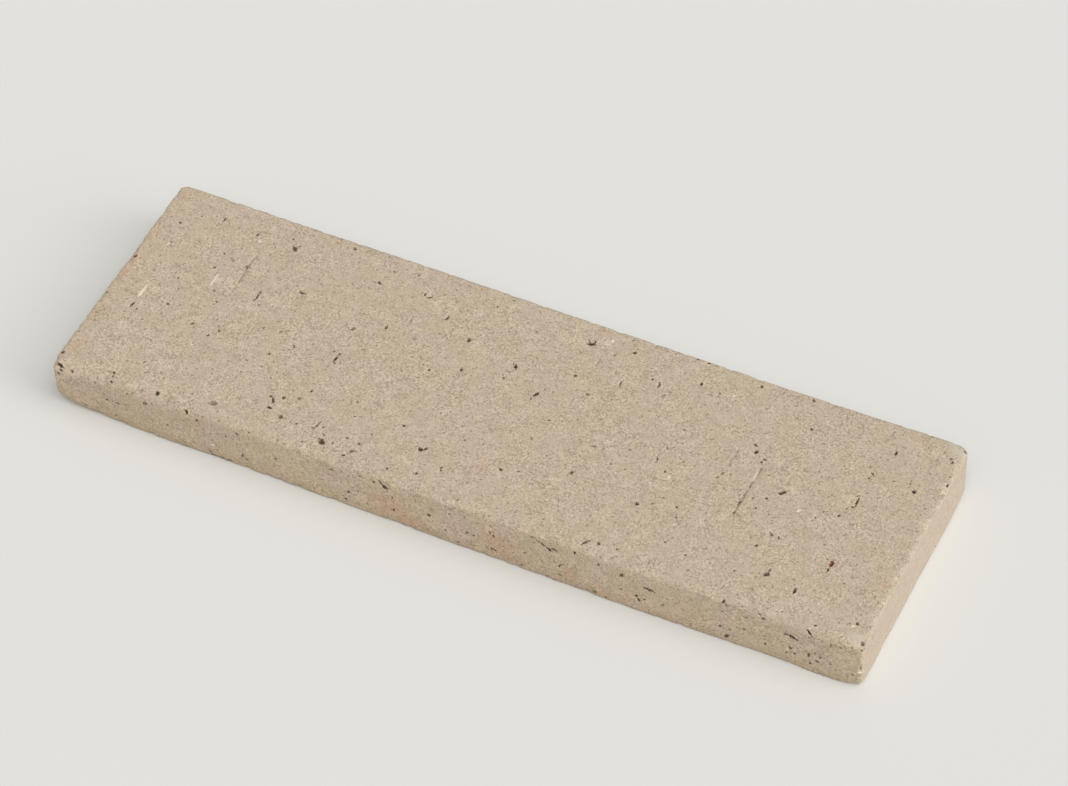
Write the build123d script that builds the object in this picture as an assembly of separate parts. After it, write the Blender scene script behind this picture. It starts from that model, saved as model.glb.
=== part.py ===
from build123d import *
import math
import os

# A clay paver: one fired piece, long, narrow and thin.
# +X runs along the paver and +Y across it, away from its worn long edge. +Z is up.
# The origin is at the middle of the bed face. All sizes are in millimetres.

# Size from corner to corner, before the sides swell
length = 289.5
width = 88.5
thickness = 21.0

# How far each side swells outward at evenly spaced places, from left to right or from
# front to back. Wet clay sags and drags as it is cut, so no side is quite straight.
front_swell = (0.8, 1.4, 1.5, 1.3, 0.7)
back_swell = (0.1, 0.2, 0.0, -0.5, -0.4)
left_swell = (0.2, 0.4, 0.3)
right_swell = (0.0, -0.1, 0.1)

# Radius of each upright corner, seen from above
front_left_corner = 6.0
front_right_corner = 3.0
back_right_corner = 5.0
back_left_corner = 3.5

# Rounding of the edges round the wearing face and round the bed face
top_edge_radius = 1.2
bed_edge_radius = 0.8

# The front upper edge is worn rounder: the reach of the wear at the left and right end,
# measured back from the front and down from the wearing face. The fullness is how far the
# worn curve swells from its inner corner, as a share of the reach, and the overlap is how
# far the curve runs out past both faces.
left_wear = 5.6
right_wear = 2.4
wear_fullness = 0.93
wear_overlap = 0.15

# Chips at the upper corners: the radius of each scoop and how deep it bites
front_right_chip_radius = 9.0
front_right_chip_depth = 1.3
back_right_chip_radius = 11.0
back_right_chip_depth = 1.6
front_left_chip_radius = 4.0
front_left_chip_depth = 1.4
back_left_chip_radius = 7.0
back_left_chip_depth = 1.0


def wavy_side(start, end, swell):
    """One side of the plan from corner to corner, bowed outward by each swell in turn."""
    along = end - start
    outward = Vector(along.Y, -along.X, 0).normalized()
    steps = len(swell) + 1
    bowed = [start + along * ((i + 1) / steps) + outward * s for i, s in enumerate(swell)]
    return Spline(start, *bowed, end)


def plan_outline():
    """The paver seen from above, with its four corners still sharp."""
    half_length = length / 2
    half_width = width / 2
    front_left = Vector(-half_length, -half_width, 0)
    front_right = Vector(half_length, -half_width, 0)
    back_right = Vector(half_length, half_width, 0)
    back_left = Vector(-half_length, half_width, 0)
    front = wavy_side(front_left, front_right, front_swell)
    right = wavy_side(front_right, back_right, right_swell)
    back = wavy_side(back_right, back_left, tuple(reversed(back_swell)))
    left = wavy_side(back_left, front_left, tuple(reversed(left_swell)))
    return make_face([front, right, back, left])


def upright_edge(body, x_side, y_side):
    """The upright edge of the body nearest to one corner of the plan."""
    corner = Vector(x_side * length / 2, y_side * width / 2, thickness / 2)
    return min(body.edges().filter_by(Axis.Z), key=lambda edge: (edge.center() - corner).length)


def slab():
    """The cut slab: the plan carried up to the thickness, with every edge rounded."""
    body = extrude(plan_outline(), thickness)
    corners = (
        (-1, -1, front_left_corner),
        (1, -1, front_right_corner),
        (1, 1, back_right_corner),
        (-1, 1, back_left_corner),
    )
    for x_side, y_side, radius in corners:
        body = fillet(upright_edge(body, x_side, y_side), radius)
    body = fillet(body.faces().sort_by(Axis.Z)[-1].edges(), top_edge_radius)
    return fillet(body.faces().sort_by(Axis.Z)[0].edges(), bed_edge_radius)


def wear_section(x, swell, reach):
    """What the wear takes off the front upper edge at one place along the paver."""
    front = -width / 2 - swell - wear_overlap
    top = thickness + wear_overlap
    level = Vector(x, front + reach, top)
    low = Vector(x, front, top - reach)
    outward = Vector(0, -math.sqrt(0.5), math.sqrt(0.5))
    belly = Vector(x, front + reach, top - reach) + outward * (reach * wear_fullness)
    above = Vector(x, front + reach, top + reach)
    outside = Vector(x, front - reach, top + reach)
    beside = Vector(x, front - reach, top - reach)
    worn = ThreePointArc(low, belly, level)
    return make_face([worn, Line(level, above), Line(above, outside), Line(outside, beside), Line(beside, low)])


def edge_wear():
    """The cutter that wears the front upper edge: it follows the bowed front and narrows to the right."""
    steps = len(front_swell) + 1
    swells = (0, 0, *front_swell, 0, 0)
    sections = []
    for i, swell in enumerate(swells, start=-1):
        reach = left_wear + (right_wear - left_wear) * i / steps
        sections.append(wear_section(length * (i / steps - 0.5), swell, reach))
    return loft(sections)


def corner_chip(x_side, y_side, corner_radius, chip_radius, chip_depth):
    """A ball that scoops a chip of that depth out of one upper corner."""
    inset = corner_radius * (1 - math.sqrt(0.5))
    edge_inset = top_edge_radius * (1 - math.sqrt(0.5))
    tip = Vector(
        x_side * (length / 2 - inset - edge_inset),
        y_side * (width / 2 - inset - edge_inset),
        thickness - edge_inset,
    )
    outward = Vector(x_side, y_side, math.sqrt(2)).normalized()
    return Pos(tip + outward * (chip_radius - chip_depth)) * Sphere(chip_radius)


def paver():
    """The finished paver: the slab, worn along its front and chipped at its corners."""
    body = slab() - edge_wear()
    body -= corner_chip(1, -1, front_right_corner, front_right_chip_radius, front_right_chip_depth)
    body -= corner_chip(1, 1, back_right_corner, back_right_chip_radius, back_right_chip_depth)
    body -= corner_chip(-1, -1, front_left_corner, front_left_chip_radius, front_left_chip_depth)
    body -= corner_chip(-1, 1, back_left_corner, back_left_chip_radius, back_left_chip_depth)
    box = body.bounding_box()
    return Pos(-box.center().X, -box.center().Y, -box.min.Z) * body


os.makedirs("parts", exist_ok=True)
export_step(paver().solid(), "parts/paver.step")
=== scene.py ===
import math

import bmesh
import bpy
import numpy as np
from mathutils import Matrix, Vector


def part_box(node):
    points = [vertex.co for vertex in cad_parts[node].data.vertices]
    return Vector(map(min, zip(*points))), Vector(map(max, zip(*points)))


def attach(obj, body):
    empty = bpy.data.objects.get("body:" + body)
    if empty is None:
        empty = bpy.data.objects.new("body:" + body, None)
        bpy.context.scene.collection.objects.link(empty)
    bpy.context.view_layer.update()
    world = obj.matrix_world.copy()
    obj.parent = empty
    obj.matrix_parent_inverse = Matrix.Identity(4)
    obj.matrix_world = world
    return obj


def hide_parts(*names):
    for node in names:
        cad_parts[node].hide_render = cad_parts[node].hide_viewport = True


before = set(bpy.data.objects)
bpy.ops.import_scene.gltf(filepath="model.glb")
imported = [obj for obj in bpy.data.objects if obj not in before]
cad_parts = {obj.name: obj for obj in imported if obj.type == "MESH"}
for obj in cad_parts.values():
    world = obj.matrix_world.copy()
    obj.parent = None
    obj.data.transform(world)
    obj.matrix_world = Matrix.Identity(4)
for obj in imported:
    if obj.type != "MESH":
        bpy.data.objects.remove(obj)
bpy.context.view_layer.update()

# A long, thin clay paver lying on a pale floor. The paver's surface is worked out in
# millimetres, in the frame's own axes, and becomes metres when the mesh is made.
# +X runs along the paver, -Y is its long front edge and +Z is up.

MM = 0.001
LOW, HIGH = (np.array(corner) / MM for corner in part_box("paver"))
RANDOM = np.random.default_rng(7)


# Camera, in the photo's own place

PHOTO_WIDTH = 1068
FOCAL_PIXELS = 4000
SENSOR_WIDTH = 36.0
CAMERA_AZIMUTH = 27.4
CAMERA_ELEVATION = 49.05
CAMERA_ROLL = -2.45
CAMERA_DISTANCE = 1336.0
CAMERA_TARGET = (-1.75, 24.5, 0.0)
CAMERA_CLIP = (0.05, 20)  # metres


def make_camera():
    azimuth, elevation, roll = map(math.radians, (CAMERA_AZIMUTH, CAMERA_ELEVATION, CAMERA_ROLL))
    back = Vector((
        math.sin(azimuth) * math.cos(elevation),
        -math.cos(azimuth) * math.cos(elevation),
        math.sin(elevation),
    ))
    level_right = Vector((math.cos(azimuth), math.sin(azimuth), 0))
    level_up = back.cross(level_right)
    right = level_right * math.cos(roll) + level_up * math.sin(roll)
    up = level_up * math.cos(roll) - level_right * math.sin(roll)
    data = bpy.data.cameras.new("camera")
    data.sensor_width = SENSOR_WIDTH
    data.lens = FOCAL_PIXELS / PHOTO_WIDTH * SENSOR_WIDTH
    data.clip_start, data.clip_end = CAMERA_CLIP
    camera = bpy.data.objects.new("camera", data)
    camera.rotation_mode = "QUATERNION"
    camera.rotation_quaternion = Matrix((right, up, back)).transposed().to_quaternion()
    camera.location = (Vector(CAMERA_TARGET) + back * CAMERA_DISTANCE) * MM
    bpy.context.scene.collection.objects.link(camera)
    bpy.context.scene.camera = camera


# Noise and curves

HASH = (73856093, 19349663, 83492791, 2654435761, 1274126177)  # large numbers that mix well
SEED_SHIFT = 17.31  # how far each seed moves the noise's grid
ROUGH_LAYERS = 3
ROUGH_SPREAD = 1.5  # what the layers' sum is divided by, to stay near -1 to 1
SEED = {
    "swell": 1, "chip": 5, "ripple": 11, "crumb": 21, "wobble": 31, "hollow": 40, "dash": 61,
    "patch": 71, "warm": 81,
}


def smooth_step(low, high, value):
    t = np.clip((value - low) / (high - low), 0, 1)
    return t * t * (3 - 2 * t)


def noise(points, size, seed):
    """Smooth noise from about -1 to 1, with bumps of the given size."""
    at = points / size + seed * SEED_SHIFT
    cell = np.floor(at).astype(np.int64)
    part = at - cell
    part = part * part * part * (part * (part * 6 - 15) + 10)
    total = np.zeros(len(points))
    for corner in np.ndindex(2, 2, 2):
        x, y, z = (cell + corner).T
        mixed = (x * HASH[0]) ^ (y * HASH[1]) ^ (z * HASH[2]) ^ (seed * HASH[3])
        mixed = ((mixed ^ (mixed >> 13)) * HASH[4]) & 0xFFFFFFFF
        height = ((mixed ^ (mixed >> 16)) & 0xFFFF) / 32767.5 - 1
        total += height * np.prod(np.where(corner, part, 1 - part), axis=1)
    return total


def rough(points, size, seed):
    """Noise in layers, each half as large and half as strong as the one before."""
    layers = (noise(points, size / 2**i, seed + i) / 2**i for i in range(ROUGH_LAYERS))
    return sum(layers) / ROUGH_SPREAD


def curve_through(points):
    """A smooth curve through points of rising first value, flat beyond its ends."""
    x, y = np.array(points, float).T
    slope = np.gradient(y, x)

    def value(at):
        at = np.clip(at, x[0], x[-1])
        i = np.clip(np.searchsorted(x, at) - 1, 0, len(x) - 2)
        step = x[i + 1] - x[i]
        t = (at - x[i]) / step
        return (
            (1 + 2 * t) * (1 - t) ** 2 * y[i]
            + t * (1 - t) ** 2 * step * slope[i]
            + t * t * (3 - 2 * t) * y[i + 1]
            - t * t * (1 - t) * step * slope[i + 1]
        )

    return value


# How the sides, edges and corners depart from a plain box

# Places along a side, and how far the side stands in from the box there
FRONT_LINE = (
    (-145, 0.2), (-140, 0.6), (-132, 1.1), (-120, 1.0), (-100, 0.7), (-86, 1.0), (-74, 0.9),
    (-60, 0.7), (-20, 0.6), (0, 0.4), (20, 0.4), (35, 0.2), (60, 0.1), (80, 0.2), (100, 0.5),
    (120, 0.8), (137, 0.4), (145, 0.6),
)
BACK_LINE = (
    (-145, 0.0), (-125, 0.0), (-113, 0.0), (-100, 0.1), (-80, 0.15), (-60, 0.0), (-45, 0.0),
    (-30, 0.15), (-10, 0.25), (20, 0.35), (50, 0.45), (70, 0.5), (80, 0.7), (90, 0.5), (115, 0.3),
    (125, 0.1), (138, 0.0), (145, 0.0),
)
LEFT_LINE = (
    (-45, 0.0), (-30, 0.0), (-20, 0.1), (-10, 0.05), (5, 0.1), (10, 0.3), (20, 0.1), (26, 0.2),
    (45, 0.1),
)
RIGHT_LINE = ((-45, 0.3), (-28, 0.6), (-10, 0.4), (10, 0.3), (20, 0.0), (38, 0.0), (45, 0.1))

# Rounding of the long front edges from left to right, of the lower end edges from front
# to back, of the other edges, and of the upright corners by their sides of the middle
FRONT_TOP_ROUND = (
    (-145, 5.2), (-120, 5.2), (-95, 4.2), (-60, 3.0), (-20, 2.3), (40, 2.0), (90, 2.2), (120, 2.6),
    (145, 2.6),
)
FRONT_BED_ROUND = (
    (-145, 8.0), (-137, 4.0), (-120, 1.5), (-90, 1.2), (0, 0.9), (110, 1.0), (138, 1.6),
    (145, 4.5),
)
LEFT_BED_ROUND = ((-45, 8.5), (-38, 4.5), (-28, 1.3), (45, 1.2))
RIGHT_BED_ROUND = ((-45, 4.0), (-38, 1.2), (20, 0.9), (36, 0.9), (45, 3.2))
BACK_BED_ROUND = 1.2
BACK_TOP_ROUND = 1.0
LEFT_TOP_ROUND = 1.2
RIGHT_TOP_ROUND = 1.5
CORNER_ROUND = {(-1, -1): 1.0, (1, -1): 1.4, (1, 1): 2.8, (-1, 1): 2.0}
ROUND_BLEND = 4.0  # how far from a corner a side's rounding still turns into the end's

# Flat chips: a point of the chip, the way it faces, and how rough it is
CHIPS = (
    ((141.8, -41.6, 20.4), (0.18, -0.3, 0.94), 0.05),
    ((143.6, 43.6, 20.2), (0.45, 0.5, 0.74), 0.08),
    ((-144.4, -42.9, 19.7), (-0.62, -0.4, 0.66), 0.25),
    ((-143.9, 44.0, 20.3), (-0.5, 0.65, 0.6), 0.15),
    ((143.9, -44.0, 1.2), (0.5, -0.6, -0.62), 0.2),
)
CHIP_REACH = 9.0
CHIP_GRAIN = 1.6

CORE = 7.0  # how deep in the box the lines start that carry its points to the surface
SEARCH_STEPS = 17
SEARCH_SLACK = 0.5
NORMAL_STEP = 0.15

front_inset, back_inset, left_inset, right_inset = map(
    curve_through, (FRONT_LINE, BACK_LINE, LEFT_LINE, RIGHT_LINE))
front_top_round, front_bed_round, left_bed_round, right_bed_round = map(
    curve_through, (FRONT_TOP_ROUND, FRONT_BED_ROUND, LEFT_BED_ROUND, RIGHT_BED_ROUND))


def rounded(a, b, radius):
    """Distance outside an edge where two faces meet, rounded to the radius."""
    return np.minimum(np.maximum(a, b), -radius) + np.hypot(
        np.maximum(a + radius, 0), np.maximum(b + radius, 0))


def sides(points):
    """Distances outside the nearer end, the nearer long side, and the two flat faces."""
    x, y, z = points.T
    end = np.maximum(LOW[0] + left_inset(y) - x, x - HIGH[0] + right_inset(y))
    long_side = np.maximum(LOW[1] + front_inset(x) - y, y - HIGH[1] + back_inset(x))
    return end, long_side, z - HIGH[2], LOW[2] - z


def outside(points):
    """Distance outside the paver's rounded and chipped form, negative inside it."""
    x, y, _ = points.T
    end, long_side, above, below = sides(points)
    corner = np.zeros(len(points))
    for (x_side, y_side), radius in CORNER_ROUND.items():
        corner[(x * x_side >= 0) & (y * y_side >= 0)] = radius
    plan = rounded(end, long_side, corner)
    near_long = smooth_step(-ROUND_BLEND, ROUND_BLEND, long_side - end)
    is_front = y < 0
    top_long = np.where(is_front, front_top_round(x), BACK_TOP_ROUND)
    top_end = np.where(x < 0, LEFT_TOP_ROUND, RIGHT_TOP_ROUND)
    bed_long = np.where(is_front, front_bed_round(x), BACK_BED_ROUND)
    bed_end = np.where(x < 0, left_bed_round(y), right_bed_round(y))
    form = rounded(plan, above, top_end + (top_long - top_end) * near_long)
    form = rounded(form, below, bed_end + (bed_long - bed_end) * near_long)
    for place, way, roughness in CHIPS:
        near = np.flatnonzero(np.linalg.norm(points - place, axis=1) < CHIP_REACH)
        if len(near):
            way = np.array(way) / np.linalg.norm(way)
            grain = noise(points[near], CHIP_GRAIN, SEED["chip"])
            form[near] = np.maximum(form[near], (points[near] - place) @ way + roughness * grain)
    return form


def on_surface(box_points):
    """Carries points of the plain box in to the paver's form, along lines from its core."""
    inner = np.clip(box_points, LOW + CORE, HIGH - CORE)
    way = box_points - inner
    far = np.linalg.norm(way, axis=1)
    way /= far[:, None]
    near, far = np.zeros(len(way)), far + SEARCH_SLACK
    for _ in range(SEARCH_STEPS):
        middle = (near + far) / 2
        is_out = outside(inner + way * middle[:, None]) > 0
        far = np.where(is_out, middle, far)
        near = np.where(is_out, near, middle)
    return inner + way * near[:, None]


def facing(points):
    """The outward direction of the form at each point."""
    slope = np.stack([outside(points + step) - outside(points - step)
                      for step in NORMAL_STEP * np.eye(3)], 1)
    return slope / np.linalg.norm(slope, axis=1)[:, None]


def edge_distance(points):
    """How far points of the surface are from the nearest edge, counted on the plain faces."""
    end, long_side, above, below = sides(points)
    return -np.sort(np.stack([end, long_side, np.maximum(above, below)]), axis=0)[1]


# Marks read from the photo. Each has its place on a face, its length and width, its
# turn on the face in degrees, and how dark it is from 0 to 1.

TOP_MARKS = (
    (-95.3, 33.7, 2.1, 1.5, -50, 0.75), (-94.2, 35.2, 1.2, 0.7, 50, 0.6),
    (-96.3, 34.6, 0.9, 0.6, 0, 0.5), (-109.9, 34.2, 1.2, 0.9, -40, 0.7),
    (-83.7, 16.8, 1.9, 1.2, -10, 0.7), (-96.5, 9.0, 3.8, 0.7, 92, 0.7),
    (-94.1, 6.0, 0.9, 0.8, 0, 0.5), (-133.3, -11.1, 2.4, 0.9, 80, 0.8),
    (-130.9, -12.3, 0.8, 0.6, 0, 0.7), (-143.2, 8.6, 1.7, 1.1, 80, 1.0),
    (-122.4, -6.1, 1.2, 0.9, -30, 0.8), (-122.4, 1.4, 0.8, 0.7, 0, 0.6),
    (-110.6, -10.6, 1.3, 1.0, 50, 0.6), (-101.0, -9.6, 1.3, 0.7, -55, 0.7),
    (-136.7, 28.5, 1.3, 0.9, -40, 0.7), (-123.4, 35.9, 1.8, 0.8, 95, 0.6),
    (-131.4, 34.1, 0.8, 0.7, 0, 0.5), (-116.0, 21.9, 1.0, 0.7, -45, 0.6),
    (-113.1, 20.8, 0.8, 0.6, 0, 0.5), (-135.0, 19.3, 0.7, 0.6, 0, 0.7),
    (-124.9, 5.6, 1.0, 0.7, -60, 0.6), (-107.6, 5.3, 0.8, 0.6, -50, 0.5),
    (-107.9, 1.5, 1.0, 0.8, 0, 0.6), (-108.2, 0.1, 0.9, 0.6, -45, 0.5),
    (-81.8, -1.5, 1.0, 0.7, -50, 0.7), (-79.0, 2.5, 0.7, 0.6, 0, 0.5),
    (-74.9, -5.5, 2.0, 0.6, -50, 0.6), (-75.7, -7.5, 1.0, 0.7, 30, 0.5),
    (-81.0, -11.8, 1.2, 1.0, -30, 0.6), (-86.4, -17.4, 1.4, 0.7, 0, 0.4),
    (-85.6, -22.7, 0.8, 0.6, 0, 0.6), (-87.4, -38.5, 2.6, 2.0, 10, 0.45),
    (-106.6, -42.0, 1.5, 1.5, 0, 0.9), (-123.9, -40.2, 1.1, 0.9, -40, 0.8),
    (-123.6, -43.0, 1.1, 0.8, -40, 0.9), (-76.6, 41.9, 1.4, 1.0, -50, 0.7),
    (-83.1, 42.0, 0.9, 0.6, 60, 0.5), (-94.0, 19.4, 0.8, 0.6, 0, 0.4),
    (-91.9, 13.6, 0.7, 0.6, 0, 0.4), (-118.4, -4.9, 0.9, 0.6, 0, 0.4),
    (-109.4, -34.0, 1.2, 0.7, 60, 0.4), (-106.2, 19.8, 1.6, 1.0, 0, 0.6),
    (-106.3, 27.7, 0.9, 0.7, 0, 0.5), (-62.0, 31.4, 1.8, 1.0, -30, 0.7),
    (-45.5, 32.8, 1.4, 0.7, 95, 0.7), (-43.4, 32.3, 1.7, 0.8, 35, 0.7),
    (-34.1, 26.4, 2.0, 0.9, 80, 0.85), (-23.1, 20.5, 1.6, 1.3, 100, 0.75),
    (-3.9, 16.3, 2.0, 1.2, -50, 0.9), (-50.7, 14.4, 2.0, 0.9, 95, 0.75),
    (-60.5, 9.2, 1.8, 1.1, 60, 0.6), (-19.7, 7.8, 1.65, 0.8, 95, 0.95),
    (-29.3, 3.4, 1.1, 0.9, -50, 1.0), (-59.7, -4.8, 3.3, 0.9, 85, 0.85),
    (-61.6, -2.1, 1.0, 0.7, 30, 0.5), (-60.5, -20.6, 1.1, 0.9, -80, 1.0),
    (-26.0, -21.5, 1.0, 0.9, 0, 0.8), (-16.5, -28.4, 1.6, 1.5, 0, 0.9),
    (-15.2, -27.4, 1.5, 1.0, 40, 0.8), (-6.6, -33.6, 1.0, 0.7, -50, 0.7),
    (-13.2, -37.9, 1.1, 0.9, -30, 0.8), (-40.4, -33.7, 1.2, 0.9, -40, 0.6),
    (-22.8, -40.0, 1.1, 0.9, -30, 0.6), (-47.4, -38.6, 2.7, 2.0, -40, 0.85),
    (-48.2, -35.6, 1.7, 0.6, -35, 0.5), (-51.9, -33.0, 2.6, 0.8, 80, 0.6),
    (-58.4, -35.1, 0.9, 0.7, 0, 0.7), (-64.6, -34.7, 1.7, 1.4, -20, 0.75),
    (-70.1, -29.3, 2.9, 0.8, -58, 0.85), (-69.8, -32.6, 2.2, 1.0, -15, 0.85),
    (-67.4, -26.9, 1.3, 1.1, 0, 0.8), (-62.7, -25.1, 1.4, 1.0, 45, 0.5),
    (-36.6, -38.1, 1.9, 1.3, 35, 0.65), (-35.9, -34.4, 1.5, 0.8, -40, 0.6),
    (-38.3, -40.8, 1.4, 0.8, 15, 0.8), (-51.4, 39.8, 1.1, 0.8, 0, 0.6),
    (-59.8, 37.9, 0.9, 0.7, 60, 0.4), (-21.0, 37.8, 0.9, 0.8, 0, 0.6),
    (-17.1, 42.6, 1.0, 0.8, 0, 0.5), (-40.0, 13.6, 1.0, 0.6, 45, 0.4),
    (-44.6, 20.4, 1.3, 0.6, 90, 0.5), (-36.9, 6.3, 0.9, 0.7, 0, 0.5),
    (-32.3, 4.8, 1.1, 0.8, 0, 0.5), (-53.5, 2.4, 0.9, 0.7, 0, 0.4),
    (-44.5, -18.6, 1.1, 0.8, -50, 0.5), (-42.4, -24.6, 1.3, 0.6, 0, 0.5),
    (-33.9, -29.2, 0.9, 0.7, 0, 0.5), (-4.7, 13.4, 0.8, 0.7, 0, 0.5),
    (-5.4, 10.3, 1.1, 0.8, -60, 0.6), (-4.2, 33.0, 1.0, 0.8, 0, 0.5),
    (-5.3, -19.0, 1.1, 0.8, 0, 0.45), (-15.5, -12.1, 1.3, 0.5, 10, 0.5),
    (14.5, 35.6, 2.3, 1.5, 15, 0.9), (15.5, 36.9, 1.6, 0.6, 110, 0.7),
    (13.4, 36.6, 1.2, 0.5, 115, 0.6), (29.4, 37.9, 1.5, 1.1, 25, 0.9),
    (15.6, 20.9, 1.3, 1.1, -30, 0.9), (54.9, 34.3, 1.4, 0.9, 95, 0.9),
    (42.5, 28.5, 2.1, 0.8, -70, 0.7), (39.4, 29.8, 0.9, 0.8, 0, 0.6),
    (30.7, 23.8, 2.0, 0.7, 100, 0.6), (20.2, 28.9, 3.0, 0.4, 92, 0.5),
    (22.8, 15.1, 1.4, 0.8, 0, 0.6), (7.4, 8.2, 2.4, 1.2, 64, 1.0), (6.6, 5.8, 1.0, 0.6, 80, 0.6),
    (9.1, 11.6, 0.9, 0.7, 0, 0.5), (16.0, -0.1, 1.3, 0.7, 20, 0.6),
    (34.0, -4.2, 1.9, 0.7, 15, 0.5), (54.9, -0.6, 2.1, 0.6, -62, 0.75),
    (59.4, -4.5, 0.9, 0.8, 0, 0.7), (42.1, -8.6, 0.9, 0.8, 0, 0.6), (47.2, -8.8, 0.8, 0.6, 0, 0.5),
    (32.2, -17.3, 1.5, 1.0, 80, 0.7), (56.6, -20.3, 1.7, 1.1, -10, 0.85),
    (68.8, -16.4, 1.1, 0.9, -30, 0.7), (70.5, -20.3, 1.0, 0.6, -50, 0.6),
    (10.9, -25.4, 1.2, 1.0, -20, 0.8), (16.3, -23.7, 1.1, 0.7, 20, 0.6),
    (52.4, -40.0, 1.4, 0.9, -30, 0.8), (48.3, -41.3, 2.6, 0.8, 60, 0.75),
    (58.7, -39.8, 1.0, 0.8, 0, 0.6), (71.4, -30.9, 1.5, 0.6, 30, 0.6),
    (55.9, 4.8, 1.6, 0.6, -65, 0.5), (57.7, 6.0, 0.8, 0.7, 0, 0.5),
    (57.9, 14.1, 1.3, 0.9, 0, 0.45), (62.1, 33.1, 0.9, 0.8, 0, 0.6),
    (73.4, 41.4, 1.2, 1.0, 90, 0.85), (53.6, 43.7, 1.2, 0.8, 10, 0.8),
    (49.5, 43.8, 1.1, 0.6, 0, 0.8), (45.8, 25.0, 1.2, 0.8, 30, 0.4),
    (45.1, -0.6, 0.9, 0.8, 0, 0.5), (14.3, -9.6, 0.9, 0.7, 0, 0.5),
    (21.8, -14.1, 0.8, 0.6, 0, 0.5), (23.2, -14.6, 0.8, 0.6, 0, 0.5),
    (81.6, 17.7, 1.6, 0.8, -15, 0.8), (82.8, 15.0, 1.7, 1.3, 40, 1.0),
    (86.6, 13.2, 1.3, 0.7, 0, 0.9), (86.1, 11.8, 1.1, 0.8, 0, 0.9),
    (95.3, 31.3, 1.2, 0.9, -30, 0.8), (91.2, 42.9, 1.3, 0.9, -60, 0.9),
    (87.0, 38.5, 1.1, 0.6, 10, 0.5), (124.1, 33.1, 1.8, 0.8, 95, 0.9),
    (135.3, 20.5, 1.5, 1.4, 0, 1.0), (132.9, 23.2, 0.9, 0.6, -70, 0.6),
    (127.8, 22.0, 1.1, 0.7, 60, 0.5), (120.6, 21.8, 1.7, 0.7, -40, 0.6),
    (120.0, 19.8, 1.1, 0.7, 80, 0.6), (101.3, 27.2, 1.4, 0.6, 5, 0.5),
    (96.9, 2.7, 1.9, 1.4, 45, 1.0), (97.9, 3.6, 1.1, 0.8, 100, 0.9),
    (93.5, -1.3, 1.0, 0.8, 0, 0.8), (89.5, -3.0, 0.8, 0.7, 0, 0.7),
    (117.3, 1.6, 1.0, 0.8, 60, 0.8), (112.2, 1.0, 1.0, 0.6, 90, 0.5),
    (120.4, 9.4, 3.2, 0.65, 91, 0.95), (119.9, 6.6, 1.2, 0.7, 30, 0.8),
    (118.3, 5.3, 0.9, 0.6, -60, 0.7), (122.7, -17.3, 2.6, 1.3, 95, 1.0),
    (122.6, -19.9, 2.4, 0.6, 95, 1.0), (100.9, -14.3, 1.3, 1.0, -40, 0.6),
    (103.4, -14.6, 1.5, 0.8, -60, 0.6), (98.2, -20.3, 1.4, 1.0, 50, 0.7),
    (105.7, -29.7, 1.9, 1.5, 20, 0.8), (106.0, -27.8, 1.7, 0.7, 85, 0.65),
    (116.4, -32.0, 2.9, 0.9, 95, 1.0), (95.9, -32.5, 1.3, 0.8, 80, 0.5),
    (139.2, -36.0, 1.2, 0.9, -50, 1.0), (127.6, -42.0, 1.0, 0.7, 30, 0.7),
    (91.9, -6.3, 0.9, 0.7, -50, 0.6), (96.8, -7.1, 0.8, 0.6, 0, 0.5),
    (90.4, 7.8, 0.9, 0.7, 0, 0.5), (79.3, -33.0, 1.0, 0.7, -40, 0.6),
    (77.3, 6.7, 1.4, 0.5, 85, 0.5), (76.6, 2.5, 1.5, 0.6, 75, 0.6), (75.6, 0.3, 1.3, 0.6, 45, 0.6),
    (77.4, 10.8, 1.1, 0.5, 80, 0.4), (86.9, 1.1, 1.4, 0.6, 85, 0.6),
    (86.4, -2.8, 1.3, 0.5, 75, 0.5), (86.3, -6.4, 1.9, 0.6, 88, 0.7),
    (86.4, -10.7, 1.7, 0.6, 88, 0.6), (79.0, 3.1, 0.9, 0.8, 0, 0.5),
    (95.2, -40.0, 1.6, 0.5, 80, 0.5), (129.3, -23.1, 0.9, 0.6, 0, 0.5),
    (100.7, -40.7, 0.8, 0.6, 0, 0.5), (116.1, -41.2, 0.8, 0.6, 80, 0.5),
    (117.8, -11.1, 1.0, 0.7, 0, 0.4), (111.4, -41.8, 0.8, 0.6, 0, 0.5),
    (122.8, 0.1, 1.5, 0.5, -80, 0.4), (141.0, 15.5, 0.9, 0.7, 0, 0.45),
    (87.8, -11.1, 0.7, 0.5, 0, 0.4), (101.7, -17.6, 0.8, 0.5, -70, 0.5),
    (107.5, 8.6, 0.9, 0.6, 20, 0.4), (143.5, -42.0, 1.6, 1.2, 90, 0.6),
    (144.0, -43.9, 1.2, 0.8, 0, 0.5), (142.4, -36.2, 1.5, 0.4, 115, 0.5),
    (143.3, -35.6, 1.4, 0.4, 115, 0.5), (136.9, -36.9, 1.2, 0.6, 115, 0.4),
    (144.0, 42.9, 1.2, 0.9, -50, 0.9), (141.9, 36.7, 1.3, 0.8, 60, 0.8),
    (141.0, 37.9, 1.3, 0.8, 20, 0.6), (144.1, 27.3, 1.2, 0.8, 90, 0.9),
    (143.5, 30.9, 1.1, 0.6, 0, 0.5), (138.1, 39.6, 0.9, 0.7, 0, 0.6),
    (-131.3, -17.4, 0.8, 0.6, 0, 0.6), (-112.8, 20.9, 0.8, 0.6, 0, 0.6),
    (-144.0, -39.4, 1.7, 1.3, 60, 1.0), (-142.4, -19.0, 1.0, 0.7, 0, 0.5),
)
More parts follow.
